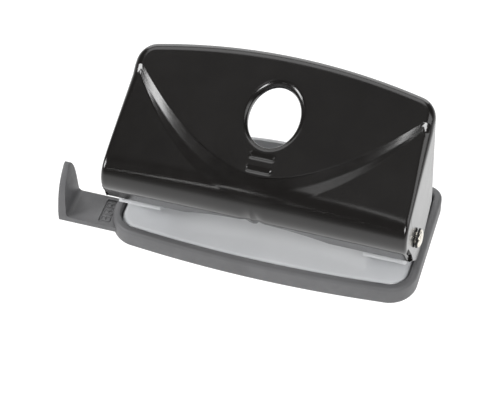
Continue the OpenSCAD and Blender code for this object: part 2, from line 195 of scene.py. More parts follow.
BLACK_PAINT = Finish(
    "satin_black_paint", (0.0062, 0.0055, 0.0051), (0.0086, 0.0077, 0.0072), (0.18, 0.21),
    Grain.ORANGE_PEEL, 0.30, 0.006, drift_mm=14.0, coat=0.2, coat_rough=0.14,
)
GREY_PAINT = Finish(
    "gloss_grey_paint", (0.510, 0.519, 0.533), (0.535, 0.544, 0.556), (0.22, 0.27),
    Grain.ORANGE_PEEL, 0.8, 0.004, drift_mm=22.0, coat=0.4, coat_rough=0.08,
)
TRAY_PLASTIC = Finish(
    "dark_moulded_plastic", (0.096, 0.096, 0.099), (0.114, 0.114, 0.118), (0.46, 0.60),
    Grain.MOULDED, 0.22, 0.012, drift_mm=11.0,
)
GUIDE_PLASTIC = Finish(
    "guide_moulded_plastic", (0.092, 0.092, 0.095), (0.110, 0.110, 0.114), (0.42, 0.56),
    Grain.MOULDED, 0.25, 0.012, drift_mm=8.0,
)
NICKEL = Finish(
    "nickel_plate", (0.70, 0.66, 0.58), (0.86, 0.83, 0.76), (0.16, 0.32),
    Grain.PLATED, 0.8, 0.012, drift_mm=1.6, metallic=1.0,
)
GROUND_STEEL = Finish(
    "ground_steel", (0.46, 0.46, 0.47), (0.60, 0.60, 0.61), (0.18, 0.34),
    Grain.GROUND, 0.5, 0.004, drift_mm=3.0, metallic=1.0,
)
SPRING_STEEL = Finish(
    "drawn_spring_wire", (0.36, 0.36, 0.37), (0.52, 0.52, 0.53), (0.26, 0.42),
    Grain.PLATED, 0.3, 0.006, drift_mm=2.0, metallic=1.0,
)
ZINC_PLATE = Finish(
    "zinc_plated_steel", (0.50, 0.51, 0.52), (0.68, 0.69, 0.69), (0.28, 0.46),
    Grain.PLATED, 0.7, 0.010, drift_mm=3.5, metallic=1.0,
)
BLACK_OXIDE = Finish(
    "black_oxide_steel", (0.045, 0.045, 0.048), (0.080, 0.079, 0.080), (0.34, 0.50),
    Grain.PLATED, 0.4, 0.006, drift_mm=2.0, metallic=1.0,
)
BLACK_RUBBER = Finish(
    "black_washer_rubber", (0.012, 0.012, 0.012), (0.024, 0.024, 0.024), (0.55, 0.75),
    Grain.MOULDED, 0.2, 0.012, drift_mm=1.5,
)


# ---- Mesh helpers ----


def new_object(name: str, points: Sequence[Sequence[float]], faces: Sequence[Sequence[int]],
               finish: Finish, edges: Sequence[Sequence[int]] = ()) -> bpy.types.Object:
    """An object at the origin from points in millimetres.

    Args:
        name: name of the object and its mesh.
        points: positions in millimetres.
        faces: vertex numbers of each face.
        finish: finish of the whole mesh.
        edges: loose edges, for a path.

    Returns:
        The object, linked to the scene.
    """
    mesh = bpy.data.meshes.new(name)
    mesh.from_pydata((np.asarray(points, float) * MM).tolist(), list(edges), [list(f) for f in faces])
    mesh.materials.append(finish.material())
    obj = bpy.data.objects.new(name, mesh)
    bpy.context.scene.collection.objects.link(obj)
    return obj


def evaluated(obj: bpy.types.Object) -> bpy.types.Mesh:
    """A new mesh with the object's modifiers made part of it.

    Args:
        obj: object whose modifiers are used up.

    Returns:
        The new mesh, which the object does not use yet.
    """
    graph = bpy.context.evaluated_depsgraph_get()
    graph.update()
    mesh = bpy.data.meshes.new_from_object(obj.evaluated_get(graph))
    obj.modifiers.clear()
    return mesh


def settle(obj: bpy.types.Object, sharp_deg: float = 38.0) -> bpy.types.Object:
    """Makes the object's modifiers part of its mesh, turns its faces outwards and smooths it.

    Args:
        obj: object with or without modifiers.
        sharp_deg: edges sharper than this stay crisp.

    Returns:
        The same object with a plain mesh.
    """
    mesh = evaluated(obj)
    work = bmesh.new()
    work.from_mesh(mesh)
    bmesh.ops.remove_doubles(work, verts=work.verts, dist=1e-7)
    bmesh.ops.recalc_face_normals(work, faces=work.faces)
    work.to_mesh(mesh)
    work.free()
    mesh.shade_smooth()
    mesh.set_sharp_from_angle(angle=math.radians(sharp_deg))
    mesh.name = obj.name
    obj.data = mesh
    return obj


def bevelled(obj: bpy.types.Object, width_mm: float, segments: int = 2,
             angle_deg: float = 38.0) -> bpy.types.Object:
    """Rounds an object's sharp edges.

    Args:
        obj: object to change.
        width_mm: width of the rounding.
        segments: facets across it.
        angle_deg: smallest angle between faces that is rounded.

    Returns:
        The same object, settled.
    """
    bevel = obj.modifiers.new("edge_break", "BEVEL")
    bevel.width = width_mm * MM
    bevel.segments = segments
    bevel.limit_method = "ANGLE"
    bevel.angle_limit = math.radians(angle_deg)
    bevel.use_clamp_overlap = True
    bevel.miter_outer = "MITER_ARC"
    return settle(obj)


def boolean(obj: bpy.types.Object, other: bpy.types.Object, operation: str) -> bpy.types.Object:
    """Cuts or joins a solid with another one, which is used up.

    Args:
        obj: solid to change.
        other: the tool solid.
        operation: DIFFERENCE, INTERSECT or UNION.

    Returns:
        The changed solid.
    """
    cut = obj.modifiers.new("cut", "BOOLEAN")
    cut.operation = operation
    cut.solver = "EXACT"
    cut.object = other
    mesh = evaluated(obj)
    mesh.name = obj.name
    obj.data = mesh
    bpy.data.objects.remove(other)
    return obj


def prism(name: str, outline: Sequence[Flat], low: float, high: float,
          place: Callable[[float, float, float], Point], finish: Finish) -> bpy.types.Object:
    """A flat outline pulled out between two levels.

    Args:
        name: name of the object.
        outline: points of the outline, in order.
        low: lower level.
        high: higher level.
        place: turns outline x, outline y and level into a position.
        finish: finish of the prism.

    Returns:
        The closed solid.
    """
    count = len(outline)
    points = [place(x, y, level) for level in (low, high) for x, y in outline]
    faces = [list(range(count))[::-1], list(range(count, 2 * count))]
    faces += [[i, (i + 1) % count, count + (i + 1) % count, count + i] for i in range(count)]
    obj = new_object(name, points, faces, finish)
    work = bmesh.new()
    work.from_mesh(obj.data)
    bmesh.ops.recalc_face_normals(work, faces=work.faces)
    work.to_mesh(obj.data)
    work.free()
    return obj


def loft(rings: Sequence[Sequence[Point]], closed: bool = True) -> tuple[list[Point], list[list[int]]]:
    """Points and faces that join rings of equal length, with flat ends.

    Args:
        rings: rings of points, in order.
        closed: whether the first and last rings get a flat end.

    Returns:
        The points and the faces.
    """
    count = len(rings[0])
    points = [p for ring in rings for p in ring]
    faces = []
    for r in range(len(rings) - 1):
        a, b = r * count, (r + 1) * count
        faces += [[a + i, a + (i + 1) % count, b + (i + 1) % count, b + i] for i in range(count)]
    if closed:
        faces += [list(range(count))[::-1], list(range(len(points) - count, len(points)))]
    return points, faces


def arc(x: float, y: float, r: float, start: float, end: float, steps: int) -> list[Flat]:
    """Points of an arc.

    Args:
        x: centre.
        y: centre.
        r: radius.
        start: first angle in degrees.
        end: last angle in degrees.
        steps: number of chords.

    Returns:
        The points, both ends included.
    """
    angles = [math.radians(start + (end - start) * i / steps) for i in range(steps + 1)]
    return [(x + r * math.cos(a), y + r * math.sin(a)) for a in angles]


def circle(x: float, y: float, r: float) -> list[Flat]:
    """Points of a whole circle, 48 in all."""
    return arc(x, y, r, 0, 352.5, 47)


def along_x(y: float, z: float, x: float) -> Point:
    """Places an outline in Y and Z at a level of X."""
    return x, y, z


def along_y(x: float, z: float, y: float) -> Point:
    """Places an outline in X and Z at a level of Y."""
    return x, y, z


def along_z(x: float, y: float, z: float) -> Point:
    """Places an outline in X and Y at a level of Z."""
    return x, y, z


def smooth(value: np.ndarray) -> np.ndarray:
    """A soft step from 0 to 1."""
    t = np.clip(value, 0.0, 1.0)
    return t * t * (3 - 2 * t)


def ramp(value: np.ndarray) -> np.ndarray:
    """A straight step from 0 to 1."""
    return np.clip(value, 0.0, 1.0)


def refined_copy(name: str, node: str, body: str, finish: Finish, slot: str,
                 edge_mm: float, angle_deg: float = 38.0) -> bpy.types.Object:
    """A copy of a CAD node with its facets merged and its edges rounded, which stands for the node.

    Args:
        name: name of the new piece.
        node: CAD node that it replaces.
        body: body that it rides on.
        finish: its finish.
        slot: handed on to hand_over.
        edge_mm: width of the rounding of its edges.
        angle_deg: smallest angle that is rounded.

    Returns:
        The new piece.
    """
    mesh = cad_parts[node].data.copy()
    mesh.name = name
    mesh.materials.clear()
    mesh.materials.append(finish.material())
    work = bmesh.new()
    work.from_mesh(mesh)
    bmesh.ops.remove_doubles(work, verts=work.verts, dist=2e-6)
    bmesh.ops.dissolve_degenerate(work, edges=work.edges, dist=2e-6)
    bmesh.ops.dissolve_limit(
        work, angle_limit=math.radians(1.0), verts=work.verts, edges=work.edges, delimit=set()
    )
    for face in work.faces:
        face.material_index = 0
    work.to_mesh(mesh)
    work.free()
    if mesh.has_custom_normals:
        mesh.attributes.remove(mesh.attributes["custom_normal"])
    obj = bpy.data.objects.new(name, mesh)
    bpy.context.scene.collection.objects.link(obj)
    bevelled(obj, edge_mm, 2, angle_deg)
    return hand_over(obj, body, slot, node)


def hand_over(obj: bpy.types.Object, body: str, slot: str, *nodes: str) -> bpy.types.Object:
    """Puts a finished piece on its body and hides the CAD nodes that it replaces.

    Args:
        obj: the finished piece.
        body: body that it rides on.
        slot: not used.
        nodes: CAD nodes that it replaces.

    Returns:
        The piece.
    """
    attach(obj, body)
    if nodes:
        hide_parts(*nodes)
    log.info("%s rides on %s, %d faces", obj.name, body, len(obj.data.polygons))
    return obj


# ---- Geometry Nodes ----


class NodeBuilder:
    """A Geometry Nodes tree with named sizes, used once on an object and then baked into its mesh."""

    def __init__(self, name: str, sizes: dict[str, float]) -> None:
        """Starts a tree.

        Args:
            name: name of the tree.
            sizes: named inputs and their values, in metres or as counts.
        """
        self.sizes = sizes
        self.tree = bpy.data.node_groups.new(name, "GeometryNodeTree")
        face = self.tree.interface
        face.new_socket("Geometry", in_out="INPUT", socket_type="NodeSocketGeometry")
        for label, value in sizes.items():
            kind = "NodeSocketInt" if isinstance(value, int) else "NodeSocketFloat"
            face.new_socket(label, in_out="INPUT", socket_type=kind)
        face.new_socket("Geometry", in_out="OUTPUT", socket_type="NodeSocketGeometry")
        self.start = self.tree.nodes.new("NodeGroupInput")
        self.end = self.tree.nodes.new("NodeGroupOutput")

    def add(self, kind: str, links: Optional[dict[str, bpy.types.NodeSocket]] = None,
            **values: object) -> bpy.types.Node:
        """Adds a node.

        Args:
            kind: type of the node.
            links: sockets that feed its inputs, by input name.
            values: properties of the node, or values of its inputs.

        Returns:
            The node.
        """
        node = self.tree.nodes.new(kind)
        for key, value in values.items():
            if hasattr(node, key):
                setattr(node, key, value)
            else:
                node.inputs[key.replace("_", " ")].default_value = value
        for key, socket in (links or {}).items():
            self.tree.links.new(socket, node.inputs[key])
        return node

    def swept(self, line: bpy.types.NodeSocket, section: bpy.types.NodeSocket,
              caps: bool = True) -> bpy.types.NodeSocket:
        """A section pulled along a line.

        Args:
            line: curve to follow.
            section: closed curve to pull along it.
            caps: whether both ends are closed.

        Returns:
            The swept mesh.
        """
        solid = self.add("GeometryNodeCurveToMesh", {"Curve": line, "Profile Curve": section})
        solid.inputs["Fill Caps"].default_value = caps
        return solid.outputs[0]

    def on_points(self, piece: bpy.types.NodeSocket) -> bpy.types.NodeSocket:
        """Copies of a piece, one on each point of the object's mesh.

        Args:
            piece: geometry to copy.

        Returns:
            The copies.
        """
        spots = self.add("GeometryNodeMeshToPoints", {"Mesh": self.start.outputs["Geometry"]})
        return self.add("GeometryNodeInstanceOnPoints", {
            "Points": spots.outputs[0], "Instance": piece}).outputs[0]

    def bake(self, obj: bpy.types.Object, last: bpy.types.NodeSocket, finish: Finish,
             sharp_deg: float = 38.0) -> bpy.types.Object:
        """Ends the tree in real geometry with its material, and bakes it on an object.

        Args:
            obj: object whose mesh is the tree's input.
            last: geometry to put out.
            finish: finish of the result.
            sharp_deg: edges sharper than this stay crisp.

        Returns:
            The object with a plain mesh.
        """
        real = self.add("GeometryNodeRealizeInstances", {"Geometry": last})
        dressed = self.add("GeometryNodeSetMaterial", {"Geometry": real.outputs[0]})
        dressed.inputs["Material"].default_value = finish.material()
        self.tree.links.new(dressed.outputs[0], self.end.inputs[0])
        modifier = obj.modifiers.new("build", "NODES")
        modifier.node_group = self.tree
        for item in self.tree.interface.items_tree:
            if item.in_out == "INPUT" and item.name in self.sizes:
                modifier[item.identifier] = self.sizes[item.name]
        return settle(obj, sharp_deg)


def swept_wire(name: str, path: Sequence[Point], radius: float, finish: Finish) -> bpy.types.Object:
    """A round wire along a path.

    Args:
        name: name of the object.
        path: points of the wire's middle line, in millimetres.
        radius: radius of the wire, in millimetres.
        finish: its finish.

    Returns:
        The wire as a closed mesh.
    """
    obj = new_object(name, path, [], finish, [(i, i + 1) for i in range(len(path) - 1)])
    nodes = NodeBuilder(name + "_sweep", {"Wire radius": radius * MM, "Facets": 10})
    line = nodes.add("GeometryNodeMeshToCurve", {"Mesh": nodes.start.outputs["Geometry"]})
    section = nodes.add("GeometryNodeCurvePrimitiveCircle", {
        "Radius": nodes.start.outputs["Wire radius"], "Resolution": nodes.start.outputs["Facets"]})
    return nodes.bake(obj, nodes.swept(line.outputs[0], section.outputs[0]), finish)


def swept_ribs(name: str, ribs: Sequence[tuple[Point, Point]], thick: float, high: float,
               finish: Finish) -> bpy.types.Object:
    """Straight ribs of one section, one along each line.

    Args:
        name: name of the object.
        ribs: both ends of each rib's middle line.
        thick: thickness of a rib.
        high: height of a rib.
        finish: their finish.

    Returns:
        The ribs as one mesh.
    """
    points = [p for rib in ribs for p in rib]
    obj = new_object(name, points, [], finish, [(2 * i, 2 * i + 1) for i in range(len(ribs))])
    nodes = NodeBuilder(name + "_ribs", {"Thickness": thick * MM, "Height": high * MM})
    line = nodes.add("GeometryNodeMeshToCurve", {"Mesh": nodes.start.outputs["Geometry"]})
    upright = nodes.add("GeometryNodeSetCurveNormal", {"Curve": line.outputs[0]}, mode="Z_UP")
    section = nodes.add("GeometryNodeCurvePrimitiveQuadrilateral", {
        "Width": nodes.start.outputs["Thickness"], "Height": nodes.start.outputs["Height"]})
    return nodes.bake(obj, nodes.swept(upright.outputs[0], section.outputs[0]), finish)


def riveted(name: str, feet: Sequence[Point], shank_r: float, shank_h: float, head_r: float,
            head_h: float, finish: Finish) -> bpy.types.Object:
    """Round-headed rivets, one standing on each point.

    Args:
        name: name of the object.
        feet: lower end of each rivet.
        shank_r: radius of the shank.
        shank_h: height of the shank.
        head_r: radius of the head.
        head_h: height of the head above the shank.
        finish: their finish.

    Returns:
        The rivets as one mesh.
    """
    obj = new_object(name, feet, [], finish)
    nodes = NodeBuilder(name + "_rivets", {
        "Shank radius": shank_r * MM, "Shank height": shank_h * MM,
        "Head radius": head_r * MM, "Head height": head_h * MM})
    given = nodes.start.outputs
    shank = nodes.add("GeometryNodeMeshCylinder", {
        "Radius": given["Shank radius"], "Depth": given["Shank height"]}, Vertices=20)
    half = nodes.add("ShaderNodeMath", {0: given["Shank height"]}, operation="MULTIPLY")
    half.inputs[1].default_value = 0.5
    lift = nodes.add("ShaderNodeCombineXYZ", {"Z": half.outputs[0]})
    raised = nodes.add("GeometryNodeTransform", {
        "Geometry": shank.outputs["Mesh"], "Translation": lift.outputs[0]})
    ball = nodes.add("GeometryNodeMeshUVSphere", Segments=24, Rings=14)
    ball.inputs["Radius"].default_value = 1.0
    size = nodes.add("ShaderNodeCombineXYZ", {
        "X": given["Head radius"], "Y": given["Head radius"], "Z": given["Head height"]})
    up = nodes.add("ShaderNodeCombineXYZ", {"Z": given["Shank height"]})
    head = nodes.add("GeometryNodeTransform", {
        "Geometry": ball.outputs["Mesh"], "Translation": up.outputs[0], "Scale": size.outputs[0]})
    both = nodes.add("GeometryNodeJoinGeometry")
    nodes.tree.links.new(raised.outputs[0], both.inputs[0])
    nodes.tree.links.new(head.outputs[0], both.inputs[0])
    return nodes.bake(obj, nodes.on_points(both.outputs[0]), finish)


# ---- Tray and guide ----


@dataclass
class Tray:
    """Moulded tray that the punch stands in, with its ribs and the leaf that holds the guide."""

    half: float = 53.0
    depth: float = 52.0
    height: float = 7.2
    wall: float = 2.8
    floor: float = 1.2
    bow: float = 2.2
    front_r: float = 9.8
    rear_r: float = 5.5
    slot: tuple[float, float, float, float] = (-20.7, -6.9, 1.3, 3.8)

    def outline(self, inset: float) -> list[Flat]:
        """Outline of the tray, moved inwards.

        Args:
            inset: how far inwards.

        Returns:
            The same number of points at any inset.
        """
        half, front, rear = self.half - inset, self.bow + inset - self.depth / 2, self.depth / 2 - inset
        rf, rr = max(self.front_r - inset, 0.6), max(self.rear_r - inset, 0.6)
        run = half - rf
        middle = [(x, front - self.bow * (1 - (x / run) ** 2))
                  for x in (run * (i / 24 - 1) for i in range(1, 48))]
        return (
            arc(-run, front + rf, rf, 180, 262, 14) + middle + arc(run, front + rf, rf, 278, 360, 14)
            + arc(half - rr, rear - rr, rr, 0, 90, 10) + arc(rr - half, rear - rr, rr, 90, 180, 10)
        )

    def ring(self, inset: float, level: float) -> list[Point]:
        """A level ring of the outline."""
        return [(x, y, level) for x, y in self.outline(inset)]

    def build(self) -> None:
        """Builds the tray, its ribs and its leaf."""
        rim = self.height
        section = [(2.0, 0.45), (1.4, 0.0), (0.7, 0.0), (0.22, 0.16), (0.0, 0.6), (0.0, rim - 1.5)]
        section += [(1.15 - 1.15 * math.cos(a), rim - 1.15 + 1.15 * math.sin(a))
                    for a in (math.radians(15 * i) for i in range(7))]
        section += [(self.wall - 0.75 + 0.75 * math.sin(a), rim - 0.75 + 0.75 * math.cos(a))
                    for a in (math.radians(18 * i) for i in range(6))]
        section += [(self.wall, self.floor + 0.8), (self.wall + 0.25, self.floor + 0.22),
                    (self.wall + 0.8, self.floor)]
        points, faces = loft([self.ring(inset, level) for inset, level in section])
        tray = new_object("chip_tray_shell", points, faces, TRAY_PLASTIC)
        y0, y1, z0, z1 = self.slot
        mouth = prism("slot_tool", [(y0, z0), (y1, z0), (y1, z1), (y0, z1)], -self.half - 1, -42.0,
                      along_x, TRAY_PLASTIC)
        settle(tray)
        boolean(tray, mouth, "DIFFERENCE")
        settle(tray)
        hand_over(tray, "tray", "dark_plastic", "chip_tray")
        inner, rib_y = 48.6, -5.3
        middle = 0.5 * (0.9 + 5.0)
        long_rib = ((-inner, rib_y + 0.7, middle), (inner, rib_y + 0.7, middle))
        cross = [((x + 0.7, rib_y + 0.5, middle), (x + 0.7, 21.2, middle)) for x in (-15.0, 15.0)]
        ribs = swept_ribs("tray_ribs", [long_rib, *cross], 1.4, 4.1, TRAY_PLASTIC)
        hand_over(ribs, "tray", "dark_plastic")
        low = swept_ribs("tray_low_rib", [((-12.0, -21.05, 2.65), (12.0, -21.05, 2.65))], 0.7, 3.5,
                         TRAY_PLASTIC)
        hand_over(low, "tray", "dark_plastic")
        refined_copy("guide_leaf_spring", "guide_spring", "tray", SPRING_STEEL, "spring_steel", 0.06)


@dataclass
class PaperGuide:
    """Sliding bar with an upright stop and raised figures in a recess."""

    stop: float = 68.5
    end: float = 38.0
    y0: float = -20.4
    y1: float = -7.2
    z0: float = 1.5
    z1: float = 3.5
    top: float = 22.4
    thick: float = 2.8
    thick_top: float = 1.8
    fillet: float = 1.6
    recess: tuple[float, float] = (-57.6, -53.4)
    recess_depth: float = 0.5

    def side(self) -> list[Flat]:
        """Outline of the stop and the bar seen from the end, as Y and Z.

        Returns:
            The points of the outline, in order.
        """
        rise, width, steps = self.top - self.z1, self.y1 - self.y0, 36
        rear = [(self.y1 - width * (0.16 * s + 0.22 * s**5), self.z1 + rise * s)
                for s in (i / steps for i in range(1, steps + 1))]
        front = [(self.y0 + width * (0.1 * s + 0.42 * s**4), self.z1 + rise * s)
                 for s in (1 - i / steps for i in range(steps + 1))]
        return [(self.y1, self.z0), (self.y1, self.z1), *rear, *front, (self.y0, self.z0)]

    def length(self) -> list[Flat]:
        """Outline of the guide seen from the front, as X and Z, with the fillet at the stop.

        Returns:
            The points of the outline, in order.
        """
        r = self.fillet
        crease = arc(-self.stop + r, self.z1 + r, r, 180, 270, 8)
        return [(self.end, self.z0), (self.end, self.z1), *crease[::-1],
                (-self.stop, self.top + 1), (-self.stop - self.thick_top, self.top + 1),
                (-self.stop - self.thick, self.z1 + 2), (-self.stop - self.thick, self.z0)]

    def build(self) -> None:
        """Builds the guide and the figures in its recess."""
        guide = prism("paper_guide_bar", self.length(), self.y0 - 1, self.y1 + 1,
                      along_y, GUIDE_PLASTIC)
        side = prism("side_tool", self.side(), -self.stop - self.thick - 1, self.end + 1,
                     along_x, GUIDE_PLASTIC)
        boolean(guide, side, "INTERSECT")
        settle(guide)
        bevelled(guide, 0.5, 3, 30.0)
        x0, x1 = self.recess
        y0, y1, r = self.y0 + 1.3, self.y1 - 1.3, 0.8
        corners = (arc(x1 - r, y1 - r, r, 0, 90, 5) + arc(x0 + r, y1 - r, r, 90, 180, 5)
                   + arc(x0 + r, y0 + r, r, 180, 270, 5) + arc(x1 - r, y0 + r, r, 270, 360, 5))
        pocket = prism("recess_tool", corners, self.z1 - self.recess_depth, self.z1 + 1,
                       along_z, GUIDE_PLASTIC)
        boolean(guide, pocket, "DIFFERENCE")
        settle(guide)
        hand_over(guide, "guide", "dark_plastic", "paper_guide")
        self.figures()

    def figures(self) -> None:
        """Three raised figures of eight in the recess, each made of two rounded loops."""
        x, y = (self.recess[0] + self.recess[1]) / 2, (self.y0 + self.y1) / 2
        z = self.z1 - self.recess_depth
        spots = [(x + side * 0.80, y + 3.05 * row, z + 0.02) for row in (-1, 0, 1) for side in (-1, 1)]
        obj = new_object("guide_figures", spots, [], GUIDE_PLASTIC)
        nodes = NodeBuilder("raised_figures", {"Length": 1.6 * MM, "Width": 1.9 * MM,
                                               "Corner": 0.6 * MM, "Stroke": 0.27 * MM})
        given = nodes.start.outputs
        loop = nodes.add("GeometryNodeCurvePrimitiveQuadrilateral", {
            "Width": given["Length"], "Height": given["Width"]})
        bent = nodes.add("GeometryNodeFilletCurve", {
            "Curve": loop.outputs[0], "Radius": given["Corner"]}, mode="POLY")
        bent.inputs["Count"].default_value = 5
        pen = nodes.add("GeometryNodeCurvePrimitiveCircle", {"Radius": given["Stroke"]})
        pen.inputs["Resolution"].default_value = 12
        ring = nodes.swept(bent.outputs[0], pen.outputs[0], caps=False)
        nodes.bake(obj, nodes.on_points(ring), GUIDE_PLASTIC, 60.0)
        hand_over(obj, "guide", "dark_plastic")


# ---- Base ----


@dataclass
class Base:
    """Painted plate with its brackets, paper stop and rivets."""

    tray: Tray
    top: float = 6.3
    bottom: float = 5.1
    lip: float = 4.6
    inset: float = 3.1
    edge_r: float = 1.65
    punch: tuple[float, float] = (40.0, 6.5)
    hole_r: float = 2.83
    rivet_y: float = 20.9
    rivet_x: tuple[float, ...] = (-25.95, 0.0, 25.95, -44.9, -37.9, 37.9, 44.9)
    pivot_y: float = -13.5
    pivot_z: float = 24.0
    head_x: float = 52.07
    ear_x: float = 48.12
    flat_run: float = 5.0

    def plate(self) -> None:
        """Builds the plate as one sheet with a rolled edge and its two die holes."""
        r, sheet = self.edge_r, self.top - self.bottom
        outside = [(self.inset, self.lip), (self.inset, self.top - r)]
        outside += [(self.inset + r - r * math.cos(a), self.top - r + r * math.sin(a))
                    for a in (math.radians(11.25 * i) for i in range(1, 9))]
        outside += [(self.inset + r + 1.5, self.top), (self.inset + r + self.flat_run, self.top)]
        inside = [(self.inset + r + self.flat_run, self.bottom), (self.inset + r + 0.4, self.bottom),
                  (self.inset + sheet + 0.35, self.bottom - 0.12), (self.inset + sheet - 0.1, self.lip)]
        rings = [self.tray.ring(i, z) for i, z in outside]
        under = [self.tray.ring(i, z) for i, z in inside]
        count = len(rings[0])
        points, faces = loft(rings, closed=False)
        faces.append(list(range(len(points) - count, len(points))))
        base = len(points)
        more, under_faces = loft(under, closed=False)
        faces += [[base + i for i in f] for f in under_faces]
        faces.append([base + i for i in range(count)][::-1])
        last = base + 3 * count
        faces += [[last + i, last + (i + 1) % count, (i + 1) % count, i] for i in range(count)]
        plate = new_object("base_plate_sheet", points + more, faces, GREY_PAINT)
        settle(plate)
        for side in (-1, 1):
            x, y = side * self.punch[0], self.punch[1]
            tool = prism("die_tool", circle(x, y, self.hole_r), 2.0, 9.0,
                         along_z, GREY_PAINT)
            boolean(plate, tool, "DIFFERENCE")
        settle(plate)
        hand_over(plate, "base", "grey_paint", "base_plate")

    def fittings(self) -> None:
        """Builds the brackets, the paper stop, the small rivets, the pivot rivets and their washers."""
        for _, name in SIDES:
            refined_copy(f"{name}_bracket_sheet", f"{name}_bracket", "base", GREY_PAINT,
                         "grey_paint", 0.22, 30)
            refined_copy(f"{name}_washer", f"{name}_pivot_washer", "base", BLACK_RUBBER,
                         "black_washer", 0.1)
        refined_copy("arched_paper_stop", "paper_stop", "base", GREY_PAINT, "grey_paint", 0.3)
        feet = [(x, self.rivet_y, self.bottom - 0.3) for x in self.rivet_x]
        rivets = riveted("bracket_rivet_heads", feet, 0.8, 2.7, 1.15, 0.5, ZINC_PLATE)
        hand_over(rivets, "base", "nickel", "bracket_rivets")
        for side, name in SIDES:
            self.pivot_rivet(side, name)

    def pivot_rivet(self, side: int, name: str) -> None:
        """Turned rivet with a domed head, a shank and a flange inside the bracket's ear.

        Args:
            side: -1 for the left, 1 for the right.
            name: word for the side.
        """
        ear, head = self.ear_x, self.head_x
        profile = [(0.0, ear - 0.8), (2.5, ear - 0.8), (2.75, ear - 0.6), (2.8, ear), (2.0, ear),
                   (2.0, head), (2.75, head), (2.95, head + 0.12), (3.0, head + 0.35)]
        profile += [(3.0 * math.cos(a), head + 0.35 + 0.93 * math.sin(a))
                    for a in (math.radians(9 * i) for i in range(1, 9))]
        profile.append((0.0, head + 1.29))
        turns = 64
        points: list[Point] = []
        faces: list[list[int]] = []
        rings = []
        for radius, x in profile:
            if radius == 0.0:
                rings.append([len(points)] * turns)
                points.append((side * x, self.pivot_y, self.pivot_z))
                continue
            rings.append(list(range(len(points), len(points) + turns)))
            points += [(side * x, self.pivot_y + radius * math.cos(a),
                        self.pivot_z + radius * math.sin(a))
                       for a in (2 * math.pi * i / turns for i in range(turns))]
        for a, b in zip(rings, rings[1:]):
            for i in range(turns):
                j = (i + 1) % turns
                faces.append(list(dict.fromkeys((a[i], a[j], b[j], b[i]))))
        rivet = new_object(f"{name}_rivet_turned", points, faces, NICKEL)
        settle(rivet)
        hand_over(rivet, "base", "nickel", f"{name}_pivot_rivet")

    def build(self) -> None:
        """Builds the whole base."""
        self.plate()
        self.fittings()


# ---- Punches ----


@dataclass
class PunchSet:
    """A pin on each side with its clip and return spring."""

    x: float = 40.0
    y: float = 6.5
    spring_r: float = 3.7
    wire_r: float = 0.35
    turns: int = 5
    low: float = 20.7
    high: float = 30.6
    stroke: float = 5.5

    def spring_path(self, side: int) -> list[Point]:
        """Middle line of a spring whose end turns lie nearly flat.

        Args:
            side: -1 for the left, 1 for the right.

        Returns:
            The points of the line.
        """
        steps = 40 * self.turns
        z0 = self.low + self.wire_r
        rise = self.high - self.wire_r - z0 - 0.02
        path = []
        for i in range(steps + 1):
            t = i / steps
            a = 2 * math.pi * self.turns * t
            ease = t - math.sin(2 * math.pi * t) / (2.6 * math.pi)
            path.append((side * self.x + self.spring_r * math.cos(a),
                         self.y + self.spring_r * math.sin(a), z0 + rise * ease))
        return path

    def build(self) -> None:
        """Builds both pins."""
        for side, name in SIDES:
            body = f"{name}_pin"
            refined_copy(f"{name}_punch_pin", f"{name}_punch", body, GROUND_STEEL, "pin_steel", 0.08)
            refined_copy(f"{name}_pin_clip", f"{name}_clip", body, BLACK_OXIDE, "spring_steel", 0.1)
            spring = swept_wire(f"{name}_coil", self.spring_path(side), self.wire_r, SPRING_STEEL)
            hand_over(spring, body, "spring_steel", f"{name}_spring")
            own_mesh(spring)


# ---- Lever ----


